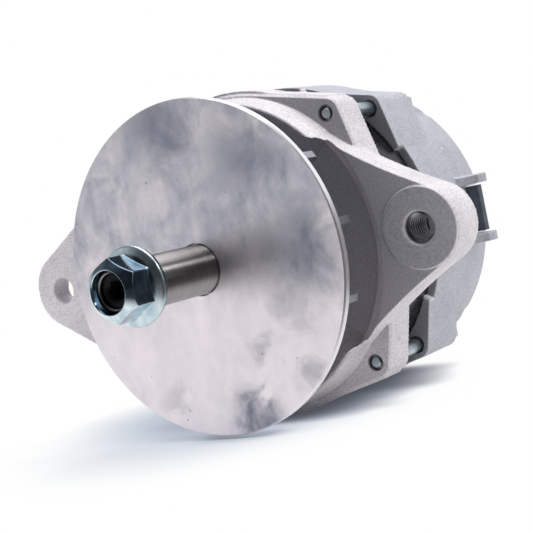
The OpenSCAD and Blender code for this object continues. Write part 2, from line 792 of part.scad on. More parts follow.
module rear_shell() {
    slab(rear_y, lobe_end) frame_outline();
    slab(rear_y, lobe_end + belt_past) belt_outline([0, 90, 180, 270]);
    turned([[0, lobe_end - eps], [frame_r, lobe_end - eps], [belt_r - 0.3, lobe_end + belt_past],
        [rear_end_r + 2, rear_end - 4], [rear_end_r + 1.3, rear_end - 1.6], [rear_end_r, rear_end], [0, rear_end]]);
    slab(hinge_rear_y, hinge_rear_y + hinge_rear_t) hinge_outline();
    for (m = [0, 1]) mirror([0, 0, m]) translate([0, 0, tab_gap / 2]) linear_extrude(tab_t)
        polygon([[casing_r, lobe_end - 2], [tab_x - 3, board_y - 5], [tab_x - 0.8, board_y - 3], [tab_x, board_y - 0.5],
            [tab_x, board_y + 4], [tab_x - 0.8, board_y + 5.5], [tab_x - 2.5, board_y + 6.5], [casing_r, board_y + 8]]);
}

module rear_slots() {
    pitch = 360 / rear_slot_count;
    slab(rear_inner - eps, rear_end + eps)
        for (k = [0:rear_slot_count - 1]) kidney(41, 6.3, k * pitch + 11, (k + 1) * pitch - 11);
}

module hinge_bushing() {
    color(c_zinc) rod_ring(-hinge_x, 0, hinge_d / 2, bushing_d / 2, hinge_rear_y - 1, hinge_rear_y + hinge_rear_t);
}

// A ring along the shaft about an axis at (x, z)
module rod_ring(x, z, r_in, r_out, y0, y1) {
    translate([x, 0, z]) ring(r_in, r_out, y0, y1);
}

module through_bolts() {
    r = bolt_d / 2;
    head_y = lobe_end + bolt_washer_t;
    color(c_zinc) at_bolt_axes() {
        rod(0, 0, r, pad_y + bolt_tip_l, head_y + eps);
        rod(0, 0, bolt_tip_r, pad_y + 0.6, pad_y + bolt_tip_l + eps);
        cone(0, 0, bolt_tip_r - 0.4, bolt_tip_r, pad_y + 0.2, pad_y + 0.6);
        slab(head_y, head_y + bolt_head_h) rotate(30) circle(bolt_head_af / sqrt(3), $fn = 6);
    }
}

module bolt_washers() {
    color(c_zinc) at_bolt_axes() ring(bolt_d / 2, bolt_washer_r, lobe_end, lobe_end + bolt_washer_t);
}

// A heat sink: a crescent plate with holes for its diodes and screws
module heat_sink(y0, output_r) {
    slab(y0, y0 + sink_t) difference() {
        intersection() {
            difference() {
                circle(casing_r - 4);
                circle(rear_boss_r + 3);
            }
            union() {
                sector(2 * casing_r, 195, 271);
                sector(2 * casing_r, 269, 345);
            }
        }
        for (p = sink_points) translate(p) circle(sink_screw_r);
        for (p = diode_points) translate(p) circle(diode_r);
        translate(output_point) circle(output_r);
    }
}

module negative_heat_sink() {
    color(c_fan) heat_sink(sink_b_y, insulator_r);
}

module positive_heat_sink() {
    color(c_fan) heat_sink(sink_a_y, output_d / 2);
}

module diodes() {
    color(c_steel) for (p = diode_points, y = [sink_a_y, sink_b_y]) {
        rod(p[0], p[1], diode_r, y - 3, y + sink_t + 1);
        cone(p[0], p[1], 1, 2.2, y - 6, y - 3);
        rod(p[0], p[1], 0.9, y - 9, y - 5);
    }
}

module heat_sink_spacers() {
    color(c_dark) for (p = sink_points)
        rod_ring(p[0], p[1], sink_screw_r, sink_screw_r + 2.5, sink_a_y + sink_t, sink_b_y);
}

module heat_sink_screws() {
    color(c_zinc) for (p = sink_points) {
        rod(p[0], p[1], sink_screw_r, sink_a_y - 1, rear_inner - 1);
        rod(p[0], p[1], sink_screw_head_r, sink_a_y - 2.6, sink_a_y);
    }
}

// Regulator: a flat moulded box on two bosses
module regulator() {
    front = hub_end - regulator_size[1];
    color(c_dark) difference() {
        translate([regulator_corner[0], front, regulator_corner[1]]) cube(regulator_size);
        for (p = regulator_points) {
            rod(p[0], p[1], screw_r, front - eps, hub_end + eps);
            rod(p[0], p[1], screw_head_r + 0.5, front - eps, hub_end - 4);
        }
    }
}

module regulator_screws() {
    color(c_zinc) for (p = regulator_points) screw(p, hub_end - 4);
}

// A small pan-head screw that goes back from its seat at y
module screw(p, y) {
    rod(p[0], p[1], screw_r, y - eps, y + 12);
    rod(p[0], p[1], screw_head_r, y - 2, y);
}

function brush_y(ring_y) = ring_y + ring_w / 2;

// Brush holder: a block with a blind channel for each brush, and a flange with two screws
module brush_holder() {
    half_w = brush_w / 2 + 4;
    roof_z = brush_top + spring_l;
    color(c_dark) difference() {
        union() {
            translate([-half_w, hub_y, ring_r + 3]) cube([2 * half_w, hub_end - hub_y, roof_z - ring_r]);
            translate([-holder_flange[0] / 2, hub_end - holder_flange[1], ring_r + 12]) cube(holder_flange);
        }
        for (y = [ring_a_y, ring_b_y]) translate([0, brush_y(y), 0])
            translate([-brush_w / 2 - slide_gap, -brush_t / 2 - slide_gap, ring_r])
                cube([brush_w + 2 * slide_gap, brush_t + 2 * slide_gap, roof_z - ring_r]);
        for (p = holder_points) rod(p[0], p[1], screw_r, hub_end - holder_flange[1] - eps, hub_end + eps);
    }
}

module brush(ring_y) {
    color(c_dark) difference() {
        translate([-brush_w / 2, brush_y(ring_y) - brush_t / 2, ring_r - 1]) cube([brush_w, brush_t, brush_l + 1]);
        rod(0, 0, ring_r + 0.05, ring_y - eps, ring_y + ring_w + eps);
    }
}

module brush_a() {
    brush(ring_a_y);
}

module brush_b() {
    brush(ring_b_y);
}

// A coil spring standing on z = 0, as a tube swept along a helix
module coil_spring(r, wire_r, h, turns) {
    sides = 6;
    steps = 14 * turns;
    function at(i, j) = let (a = i * 360 / 14, b = j * 360 / sides, w = r + wire_r * cos(b))
        [w * cos(a), w * sin(a), wire_r + (h - 2 * wire_r) * i / steps + wire_r * sin(b)];
    polyhedron([for (i = [0:steps], j = [0:sides - 1]) at(i, j)], concat(
        [[for (j = [0:sides - 1]) j]],
        [[for (j = [sides - 1:-1:0]) steps * sides + j]],
        [for (i = [0:steps - 1], j = [0:sides - 1])
            let (n = (j + 1) % sides) [i * sides + j, (i + 1) * sides + j, (i + 1) * sides + n, i * sides + n]]));
}

module brush_spring(ring_y) {
    color(c_steel) translate([0, brush_y(ring_y), brush_top]) coil_spring(1.8, 0.35, spring_l, 6);
}

module brush_spring_a() {
    brush_spring(ring_a_y);
}

module brush_spring_b() {
    brush_spring(ring_b_y);
}

module holder_screws() {
    color(c_zinc) for (p = holder_points) screw(p, hub_end - holder_flange[1]);
}

module capacitor() {
    color(c_fan) rod(capacitor_point[0], capacitor_point[1], capacitor_r, rear_inner - capacitor_l, rear_inner);
}

// Terminal board: a plate that closes the notch between the guard tabs
module terminal_board() {
    color(c_plate) slab(board_y, board_y + board_t) difference() {
        translate([board_x, -board_w / 2]) square([board_l, board_w]);
        for (p = board_points) translate(p) circle(screw_r);
        translate([relay_x, 0]) circle(relay_d / 2);
    }
}

module board_screws() {
    color(c_zinc) for (p = board_points) screw(p, board_y);
}

// Stud of the relay terminal, pressed into the board
module relay_stud() {
    color(c_zinc) rod(relay_x, 0, relay_d / 2, board_y, board_y + board_t + relay_out);
}

module relay_nut() {
    color(c_zinc) slab(board_y + board_t, board_y + board_t + relay_nut_h) translate([relay_x, 0]) difference() {
        circle(relay_nut_r, $fn = 6);
        circle(relay_d / 2);
    }
}

module output_stud() {
    x = output_point[0];
    z = output_point[1];
    tip_y = nut_end_y + output_tip_l;
    color(c_zinc) {
        slab(sink_a_y - 4, sink_a_y) translate(output_point) circle(output_nut_af / sqrt(3), $fn = 6);
        rod(x, z, output_d / 2, sink_a_y - 1, nut_end_y);
        rod(x, z, output_tip_d / 2, nut_end_y - 1, tip_y - 0.8);
        cone(x, z, output_tip_d / 2, output_tip_d / 2 - 0.8, tip_y - 0.8, tip_y);
    }
}

module output_insulator() {
    x = output_point[0];
    z = output_point[1];
    color(c_dark) {
        rod_ring(x, z, output_d / 2, insulator_r, sink_a_y + sink_t, rear_end + 1);
        rod_ring(x, z, output_d / 2, insulator_r + 3, rear_end, output_nut_y);
    }
}

module output_nut() {
    color(c_zinc) slab(output_nut_y, nut_end_y) translate(output_point) difference() {
        circle(output_nut_af / sqrt(3), $fn = 6);
        circle(output_d / 2);
    }
}

fan();
fan_collar();
shaft();
flange_nut();
nut_washer();
front_housing();
front_bearing_outer();
front_bearing_inner();
front_balls();
front_cage();
bearing_retainer();
retainer_screws();
stator_core();
stator_winding();
rotor_core();
front_pole();
rear_pole();
coil_bobbin();
field_coil();
slip_ring_hub();
slip_rings();
rear_bearing_outer();
rear_bearing_inner();
rear_balls();
rear_cage();
rear_housing();
hinge_bushing();
through_bolts();
bolt_washers();
negative_heat_sink();
positive_heat_sink();
diodes();
heat_sink_spacers();
heat_sink_screws();
regulator();
brush_holder();
brush_a();
brush_b();
brush_spring_a();
brush_spring_b();
holder_screws();
regulator_screws();
capacitor();
terminal_board();
board_screws();
relay_stud();
relay_nut();
output_stud();
output_insulator();
output_nut();
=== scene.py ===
import json
import math

import bmesh
import bpy
from mathutils import Matrix, Vector


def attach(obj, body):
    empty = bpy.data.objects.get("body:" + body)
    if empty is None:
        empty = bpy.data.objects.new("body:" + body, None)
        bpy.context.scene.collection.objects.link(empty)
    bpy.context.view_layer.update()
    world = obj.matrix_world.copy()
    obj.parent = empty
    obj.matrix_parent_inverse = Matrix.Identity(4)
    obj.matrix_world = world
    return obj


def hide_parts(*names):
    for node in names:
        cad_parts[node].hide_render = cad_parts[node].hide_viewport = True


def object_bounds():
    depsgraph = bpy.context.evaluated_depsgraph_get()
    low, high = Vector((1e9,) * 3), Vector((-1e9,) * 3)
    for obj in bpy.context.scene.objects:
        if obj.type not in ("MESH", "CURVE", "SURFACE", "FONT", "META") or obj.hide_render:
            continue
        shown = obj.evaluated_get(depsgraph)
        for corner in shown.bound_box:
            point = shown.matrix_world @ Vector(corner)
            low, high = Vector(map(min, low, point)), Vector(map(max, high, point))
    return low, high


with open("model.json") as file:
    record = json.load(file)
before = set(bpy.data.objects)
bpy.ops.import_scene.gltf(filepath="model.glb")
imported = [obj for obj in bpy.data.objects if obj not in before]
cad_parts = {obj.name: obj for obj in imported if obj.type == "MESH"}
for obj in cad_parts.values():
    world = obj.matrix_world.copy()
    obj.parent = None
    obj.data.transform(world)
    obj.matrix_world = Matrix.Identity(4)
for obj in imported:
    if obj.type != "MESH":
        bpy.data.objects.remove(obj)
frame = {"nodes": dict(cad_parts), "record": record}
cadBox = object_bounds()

nodes = frame["nodes"]
mm = 0.001
print("frame loaded with", len(nodes), "nodes")


# colours, nodes and objects

def colour(code):
    parts = [int(code[i:i + 2], 16) / 255 for i in (1, 3, 5)]
    return (*[v / 12.92 if v <= 0.04045 else ((v + 0.055) / 1.055) ** 2.4 for v in parts], 1.0)


def setInputs(tree, node, inputs):  # a socket is linked, and a plain value is set on the node itself
    for key, value in inputs.items():
        if isinstance(value, bpy.types.NodeSocket):
            tree.links.new(value, node.inputs[key])
        else:
            node.inputs[key].default_value = value


def addNode(tree, kind, inputs=None, stops=None, **settings):
    node = tree.nodes.new(kind)
    for key, value in settings.items():
        setattr(node, key, value)
    setInputs(tree, node, inputs or {})
    if stops:
        ramp = node.color_ramp.elements
        while len(ramp) < len(stops):
            ramp.new(0.5)
        for element, (place, code) in zip(ramp, stops):
            element.position = place
            element.color = colour(code)
    return node


def startMaterial(name):
    material = bpy.data.materials.new(name)
    material.use_nodes = True
    tree = material.node_tree
    coords = addNode(tree, "ShaderNodeTexCoord")
    return material, tree, tree.nodes["Principled BSDF"], coords


def perMetre(size):  # a noise scale whose grains are about this many millimetres wide
    return 1000 / size


def addObject(name, data):
    item = bpy.data.objects.new(name, data)
    bpy.context.scene.collection.objects.link(item)
    return item


# materials

fanPlate = {
    "stain": [(0.30, "#8f94a3"), (0.44, "#bcbcc6"), (0.56, "#d8d3d8"), (0.72, "#f2e8ea")],
    "stainSize": 22, "stainSwirl": 0.6, "streakSize": 7, "streakDrawn": 0.45, "streakShare": 0.36,
    # x, z and radius in millimetres of the larger dark patches, handling stains with painted dark reflection
    # mixed in, and how far each darkens the plate
    "stainAndReflectionPatches": [(58, -2, 28, 0.60), (44, -22, 12, 0.30), (14, -68, 20, 0.75), (46, -50, 12, 0.36),
                (-28, -58, 12, 0.22), (22, -38, 9, 0.30), (-6, 66, 30, 0.55), (36, 44, 26, 0.48),
                (8, 34, 18, 0.12)],
    "patchTint": "#6b7183", "patchCore": 0.15,
    "ragged": 40,  # millimetres that the stains' borders wander
    "brokenFrom": 0.3, "brokenTo": 0.62, "brokenLow": 0.7, "brokenHigh": 1.35,
    # painted light: the lower half is painted paler between these heights, like a reflection of the bright
    # floor
    "litLowFrom": 14, "litLowTo": -26, "litLowTint": "#fdf3f7", "litLowShare": 0.70,
    "pitSize": 5.5, "pits": [(0.03, "#5c5b60"), (0.11, "#ffffff")],
    "pitAreaSize": 12, "pitAreaFrom": 0.56, "pitAreaTo": 0.62,
    "rim": "#f6f4f6", "rimFrom": 0.85, "rimTo": 0.5,
    "fin": "#a9abb4", "finFrom": 3.9, "finTo": 4.6,  # y in millimetres where the plate's back begins
    "metallic": 0.88, "rough": (0.30, 0.44), "grainSize": 0.8, "bump": 0.10, "bumpDepth": 0.15,
}


def makeFanPlate():
    # pressed aluminium plate, dulled by handling: cloudy stains, streaks, a few dark pits, a bright cut rim;
    # painted light and shade on the lower half, the larger patches, the rim and the fins
    p = fanPlate
    material, tree, shader, coords = startMaterial("pressedAluminiumPlate")
    place = coords.outputs["Object"]
    cloud = addNode(tree, "ShaderNodeTexNoise", {
        "Vector": place, "Scale": perMetre(p["stainSize"]), "Detail": 7.0, "Roughness": 0.62,
        "Distortion": p["stainSwirl"]})
    drawn = addNode(tree, "ShaderNodeMapping", {"Vector": place, "Scale": (1.0, 1.0, p["streakDrawn"])})
    streak = addNode(tree, "ShaderNodeTexNoise", {
        "Vector": drawn.outputs[0], "Scale": perMetre(p["streakSize"]), "Detail": 5.0, "Roughness": 0.65})
    both = addNode(tree, "ShaderNodeMix", {
        "Factor": p["streakShare"], "A": cloud.outputs["Fac"], "B": streak.outputs["Fac"]}, data_type="FLOAT")
    stain = addNode(tree, "ShaderNodeValToRGB", {"Fac": both.outputs["Result"]}, stops=p["stain"])

    # the larger stains and painted dark reflections have ragged borders: their distance is read from a warped
    # place
    warp = addNode(tree, "ShaderNodeVectorMath", {0: cloud.outputs["Color"], 1: (-0.5, -0.5, -0.5)},
                   operation="ADD")
    pushed = addNode(tree, "ShaderNodeVectorMath", {
        0: warp.outputs[0], 1: (p["ragged"] * mm, 0, p["ragged"] * mm)}, operation="MULTIPLY")
    moved = addNode(tree, "ShaderNodeVectorMath", {0: place, 1: pushed.outputs[0]}, operation="ADD")
    total = 0.0
    for x, z, radius, depth in p["stainAndReflectionPatches"]:
        away = addNode(tree, "ShaderNodeVectorMath", {0: moved.outputs[0], 1: (x * mm, 0, z * mm)},
                       operation="DISTANCE")
        fall = addNode(tree, "ShaderNodeMapRange", {
            "Value": away.outputs["Value"], "From Min": radius * mm,
            "From Max": p["patchCore"] * radius * mm, "To Max": depth}, interpolation_type="SMOOTHSTEP")
        added = addNode(tree, "ShaderNodeMath", {0: total, 1: fall.outputs["Result"]}, operation="ADD")
        total = added.outputs[0]
    broken = addNode(tree, "ShaderNodeMapRange", {
        "Value": streak.outputs["Fac"], "From Min": p["brokenFrom"], "From Max": p["brokenTo"],
        "To Min": p["brokenLow"], "To Max": p["brokenHigh"]})
    patch = addNode(tree, "ShaderNodeMath", {0: total, 1: broken.outputs["Result"]},
                    operation="MULTIPLY", use_clamp=True)
    axes = addNode(tree, "ShaderNodeSeparateXYZ", {0: place})
    # painted light: paler towards the bottom
    lower = addNode(tree, "ShaderNodeMapRange", {
        "Value": axes.outputs["Z"], "From Min": p["litLowFrom"] * mm, "From Max": p["litLowTo"] * mm,
        "To Max": p["litLowShare"]}, interpolation_type="SMOOTHSTEP")
    litLower = addNode(tree, "ShaderNodeMix", {
        "Factor": lower.outputs["Result"], "A": stain.outputs["Color"], "B": colour(p["litLowTint"])},
        data_type="RGBA")
    darker = addNode(tree, "ShaderNodeMix", {
        "Factor": patch.outputs[0], "A": litLower.outputs["Result"], "B": colour(p["patchTint"])},
        data_type="RGBA")

    # pits, only here and there
    pits = addNode(tree, "ShaderNodeTexVoronoi", {
        "Vector": place, "Scale": perMetre(p["pitSize"]), "Randomness": 1.0})
    dots = addNode(tree, "ShaderNodeValToRGB", {"Fac": pits.outputs["Distance"]}, stops=p["pits"])
    area = addNode(tree, "ShaderNodeTexNoise", {
        "Vector": place, "Scale": perMetre(p["pitAreaSize"]), "Detail": 2.0})
    few = addNode(tree, "ShaderNodeMapRange", {
        "Value": area.outputs["Fac"], "From Min": p["pitAreaFrom"], "From Max": p["pitAreaTo"]})
    pitted = addNode(tree, "ShaderNodeMix", {
        "Factor": few.outputs["Result"], "A": darker.outputs["Result"], "B": dots.outputs["Color"]},
        data_type="RGBA", blend_type="MULTIPLY")

    # the cut rim is bright metal with a painted highlight on it, and the fins behind the plate are painted
    # greyer as shade
    facing = addNode(tree, "ShaderNodeSeparateXYZ", {0: coords.outputs["Normal"]})
    level = addNode(tree, "ShaderNodeMath", {0: facing.outputs["Y"]}, operation="ABSOLUTE")
    rim = addNode(tree, "ShaderNodeMapRange", {
        "Value": level.outputs[0], "From Min": p["rimFrom"], "From Max": p["rimTo"]})
    rimmed = addNode(tree, "ShaderNodeMix", {
        "Factor": rim.outputs["Result"], "A": pitted.outputs["Result"], "B": colour(p["rim"])},
        data_type="RGBA")
    behind = addNode(tree, "ShaderNodeMapRange", {
        "Value": axes.outputs["Y"], "From Min": p["finFrom"] * mm, "From Max": p["finTo"] * mm})
    finShaded = addNode(tree, "ShaderNodeMix", {
        "Factor": behind.outputs["Result"], "A": rimmed.outputs["Result"], "B": colour(p["fin"])},
        data_type="RGBA")

    grain = addNode(tree, "ShaderNodeTexNoise", {
        "Vector": place, "Scale": perMetre(p["grainSize"]), "Detail": 3.0})
    rough = addNode(tree, "ShaderNodeMapRange", {
        "Value": both.outputs["Result"], "To Min": p["rough"][1], "To Max": p["rough"][0]})
    bump = addNode(tree, "ShaderNodeBump", {
        "Height": grain.outputs["Fac"], "Strength": p["bump"], "Distance": p["bumpDepth"] * mm})
    setInputs(tree, shader, {
        "Metallic": p["metallic"], "Base Color": finShaded.outputs["Result"],
        "Roughness": rough.outputs["Result"], "Normal": bump.outputs["Normal"]})
    return material


blastedSkin = {
    # what the two castings have in common
    "grainShare": 0.30, "specks": [(0.32, "#d2cfd2"), (0.55, "#ffffff")], "speckShare": 0.8,
    "forwardFrom": -0.45, "forwardTo": -0.92, "earShare": 0.35, "boreEdge": 0.6, "bumpDepth": 0.2,
}
# the skin runs from a darker to a paler tone, and face is the painted shade on faces that look forward; the
# two edge entries, bright rubbed edges with a painted highlight and painted shade in inner corners, are
# pointiness from and to, how far it shows, and its tint
frontCast = {
    "skin": [(0.36, "#d8d4d9"), (0.60, "#ebe7ea")], "face": "#a3a1a8",
    "rubbedAndHighlit": (0.53, 0.60, 0.85, "#fbf9fa"), "creaseShade": (0.485, 0.43, 0.7, "#5f5c61"),
    "grainSize": 0.8, "stainSize": 16, "rough": (0.52, 0.66), "metallic": 0.12, "bump": 0.30,
    "earSide": (-88, -66), "earHeight": (-50, -36),
    # x, z and radius in millimetres of each threaded hole, and the tone of its painted shade
    "boreShade": [(96.4, 0, 7.1, "#333236"), (55.7, 55.7, 4.1, "#545257"), (55.7, -55.7, 4.1, "#545257"),
              (-55.7, 55.7, 4.1, "#545257"), (-55.7, -55.7, 4.1, "#545257")],
}
rearCast = {
    "skin": [(0.36, "#b6b7c0"), (0.60, "#c4c5ce")], "face": "#96979e",
    "rubbedAndHighlit": (0.53, 0.60, 0.85, "#f6f6f8"), "creaseShade": (0.485, 0.43, 0.7, "#5f5c61"),
    "grainSize": 0.9, "stainSize": 18, "rough": (0.44, 0.58), "metallic": 0.22, "bump": 0.14,
    "earSide": (-140, -130), "earHeight": (-100, -90),  # beyond the casting, so the painted shade covers every forward face
    "boreShade": [],
}


def makeCasting(name, cast):
    # blasted die-cast aluminium: sandy grain, edges rubbed bright with a painted highlight, painted shade on
    # the faces that look forward, in inner corners and in the threaded holes
    p = {**blastedSkin, **cast}
    material, tree, shader, coords = startMaterial(name)
    place = coords.outputs["Object"]
    cloud = addNode(tree, "ShaderNodeTexNoise", {
        "Vector": place, "Scale": perMetre(p["stainSize"]), "Detail": 5.0})
    grain = addNode(tree, "ShaderNodeTexNoise", {
        "Vector": place, "Scale": perMetre(p["grainSize"]), "Detail": 2.0, "Roughness": 0.7})
    mixed = addNode(tree, "ShaderNodeMix", {
        "Factor": p["grainShare"], "A": cloud.outputs["Fac"], "B": grain.outputs["Fac"]}, data_type="FLOAT")
    skin = addNode(tree, "ShaderNodeValToRGB", {"Fac": mixed.outputs["Result"]}, stops=p["skin"])

    # painted shade: faces that look forward are painted greyer, starting right of the ear on the left, which
    # stays pale as if lit
    facing = addNode(tree, "ShaderNodeSeparateXYZ", {0: coords.outputs["Normal"]})
    forward = addNode(tree, "ShaderNodeMapRange", {
        "Value": facing.outputs["Y"], "From Min": p["forwardFrom"], "From Max": p["forwardTo"]})
    axes = addNode(tree, "ShaderNodeSeparateXYZ", {0: place})
    side = addNode(tree, "ShaderNodeMapRange", {
        "Value": axes.outputs["X"], "From Min": p["earSide"][0] * mm, "From Max": p["earSide"][1] * mm})
    above = addNode(tree, "ShaderNodeMapRange", {
        "Value": axes.outputs["Z"], "From Min": p["earHeight"][0] * mm, "From Max": p["earHeight"][1] * mm,
        "To Min": p["earShare"]})
    forwardShadeArea = addNode(tree, "ShaderNodeMath", {0: side.outputs["Result"], 1: above.outputs["Result"]},
                    operation="MULTIPLY")
    forwardShade = addNode(tree, "ShaderNodeMath", {0: forward.outputs["Result"], 1: forwardShadeArea.outputs[0]},
                   operation="MULTIPLY")
    forwardShaded = addNode(tree, "ShaderNodeMix", {
        "Factor": forwardShade.outputs[0], "A": skin.outputs["Color"], "B": colour(p["face"])}, data_type="RGBA")
    specks = addNode(tree, "ShaderNodeValToRGB", {"Fac": grain.outputs["Fac"]}, stops=p["specks"])
    speckled = addNode(tree, "ShaderNodeMix", {
        "Factor": p["speckShare"], "A": forwardShaded.outputs["Result"], "B": specks.outputs["Color"]},
        data_type="RGBA", blend_type="MULTIPLY")
    base = speckled.outputs["Result"]

    # convex edges are rubbed bright with a painted highlight, and inner corners get painted shade
    bend = addNode(tree, "ShaderNodeNewGeometry").outputs["Pointiness"]
    for start, end, share, tint in (p["rubbedAndHighlit"], p["creaseShade"]):
        shown = addNode(tree, "ShaderNodeMapRange", {
            "Value": bend, "From Min": start, "From Max": end, "To Max": share})
        base = addNode(tree, "ShaderNodeMix", {
            "Factor": shown.outputs["Result"], "A": base, "B": colour(tint)},
            data_type="RGBA").outputs["Result"]

    for x, z, radius, tone in p["boreShade"]:  # painted shade: the threaded holes are painted dark
        level = addNode(tree, "ShaderNodeCombineXYZ", {"X": axes.outputs["X"], "Z": axes.outputs["Z"]})
        away = addNode(tree, "ShaderNodeVectorMath", {0: level.outputs[0], 1: (x * mm, 0, z * mm)},
                       operation="DISTANCE")
        inside = addNode(tree, "ShaderNodeMapRange", {
            "Value": away.outputs["Value"], "From Min": radius * mm,
            "From Max": (radius - p["boreEdge"]) * mm})
        base = addNode(tree, "ShaderNodeMix", {
            "Factor": inside.outputs["Result"], "A": base, "B": colour(tone)},
            data_type="RGBA").outputs["Result"]

    rough = addNode(tree, "ShaderNodeMapRange", {
        "Value": cloud.outputs["Fac"], "To Min": p["rough"][0], "To Max": p["rough"][1]})
    bump = addNode(tree, "ShaderNodeBump", {
        "Height": grain.outputs["Fac"], "Strength": p["bump"], "Distance": p["bumpDepth"] * mm})
    setInputs(tree, shader, {
        "Metallic": p["metallic"], "Base Color": base, "Roughness": rough.outputs["Result"],
        "Normal": bump.outputs["Normal"]})
    return material


shaftSteel = {
    "rings": [(0.35, "#a39f9f"), (0.65, "#bab6b6")], "grooveSize": 0.35, "squeeze": 0.02,
    "cut": "#2b2a2c", "cutFrom": -41.6, "cutOver": 0.4,  # y in millimetres where the cut thread begins
    "rough": 0.42, "stretch": 0.97, "turned": 0.25, "bump": 0.05, "bumpDepth": 0.05,
}


def makeShaftSteel():
    # ground steel seat: fine rings round the shaft spread the glints along it; the cut thread and end are dark
    p = shaftSteel
    material, tree, shader, coords = startMaterial("groundSteelShaft")
    place = coords.outputs["Object"]
    squeeze = addNode(tree, "ShaderNodeMapping", {
        "Vector": place, "Scale": (p["squeeze"], 1.0, p["squeeze"])})
    rings = addNode(tree, "ShaderNodeTexNoise", {
        "Vector": squeeze.outputs[0], "Scale": perMetre(p["grooveSize"]), "Detail": 3.0})
    tone = addNode(tree, "ShaderNodeValToRGB", {"Fac": rings.outputs["Fac"]}, stops=p["rings"])
    axes = addNode(tree, "ShaderNodeSeparateXYZ", {0: place})
    cut = addNode(tree, "ShaderNodeMapRange", {
        "Value": axes.outputs["Y"], "From Min": p["cutFrom"] * mm,
        "From Max": (p["cutFrom"] - p["cutOver"]) * mm})
    base = addNode(tree, "ShaderNodeMix", {
        "Factor": cut.outputs["Result"], "A": tone.outputs["Color"], "B": colour(p["cut"])}, data_type="RGBA")
    bump = addNode(tree, "ShaderNodeBump", {
        "Height": rings.outputs["Fac"], "Strength": p["bump"], "Distance": p["bumpDepth"] * mm})
    around = addNode(tree, "ShaderNodeTangent", direction_type="RADIAL", axis="Y")
    setInputs(tree, shader, {
        "Metallic": 1.0, "Roughness": p["rough"], "Anisotropic": p["stretch"],
        "Anisotropic Rotation": p["turned"], "Tangent": around.outputs["Tangent"],
        "Base Color": base.outputs["Result"], "Normal": bump.outputs["Normal"]})
    return material


plainMetals = {
    # name: (dark tone, light tone, stain size, roughness low, roughness high, grain size, bump)
    "groundSteel": ("#8b8784", "#a39e9b", 30, 0.14, 0.20, 0.5, 0.02),
    "zincPlate": ("#8aa2b2", "#b3c8d4", 6, 0.12, 0.22, 0.6, 0.05),
    "dullZinc": ("#a9b6be", "#ccd5da", 6, 0.30, 0.42, 0.6, 0.05),
    "bearingSteel": ("#8c8c90", "#a8a8ac", 10, 0.12, 0.18, 0.5, 0.01),
    "pressedSteel": ("#77777b", "#929297", 12, 0.30, 0.42, 0.6, 0.06),
    "forgedSteel": ("#4b4a4c", "#68666a", 9, 0.45, 0.60, 1.0, 0.20),
    "springSteel": ("#77777c", "#96969c", 5, 0.25, 0.35, 0.4, 0.02),
    "cageBrass": ("#9d7a3c", "#b8935a", 8, 0.28, 0.40, 0.6, 0.05),
    "ringCopper": ("#a4603f", "#bf7a55", 8, 0.20, 0.32, 0.4, 0.03),
    "sinkAluminium": ("#9a9a9e", "#b9b9bd", 12, 0.35, 0.48, 0.8, 0.10),
    "cutThread": ("#8a898d", "#aaa9ad", 6, 0.20, 0.30, 0.5, 0.02),
}
metalSkin = {"darkAt": 0.38, "lightAt": 0.62, "bumpDepth": 0.1}


def makeMetal(name, dark, light, stainSize, roughLow, roughHigh, grainSize, bumpStrength):
    material, tree, shader, coords = startMaterial(name)
    place = coords.outputs["Object"]
    cloud = addNode(tree, "ShaderNodeTexNoise", {
        "Vector": place, "Scale": perMetre(stainSize), "Detail": 4.0})
    tone = addNode(tree, "ShaderNodeValToRGB", {"Fac": cloud.outputs["Fac"]},
                   stops=[(metalSkin["darkAt"], dark), (metalSkin["lightAt"], light)])
    grain = addNode(tree, "ShaderNodeTexNoise", {
        "Vector": place, "Scale": perMetre(grainSize), "Detail": 2.0})
    rough = addNode(tree, "ShaderNodeMapRange", {
        "Value": cloud.outputs["Fac"], "To Min": roughLow, "To Max": roughHigh})
    bump = addNode(tree, "ShaderNodeBump", {
        "Height": grain.outputs["Fac"], "Strength": bumpStrength, "Distance": metalSkin["bumpDepth"] * mm})
    setInputs(tree, shader, {
        "Metallic": 1.0, "Base Color": tone.outputs["Color"], "Roughness": rough.outputs["Result"],
        "Normal": bump.outputs["Normal"]})
    return material


nutZinc = {
    "hex": [(0.38, "#73899a"), (0.62, "#93a8b8")], "flange": [(0.38, "#b9cdd6"), (0.62, "#dde9ee")],
    "hexOut": 13.4, "flangeFrom": 14.2,  # millimetres from the shaft's axis
    "floorReflectionFrom": -0.12, "floorReflectionTo": -0.42,  # painted reflection: the hexagon's lower faces are painted as pale as the flange, like a reflection of the floor
    # painted reflection: the dark tint on the hexagon's upper faces
    "darkReflection": "#2f3d4c", "darkReflectionFrom": 0.35, "darkReflectionTo": 0.75, "darkReflectionShare": 0.6,
    "rough": (0.13, 0.30), "stainSize": 5, "grainSize": 0.6, "bump": 0.04, "bumpDepth": 0.1,
}


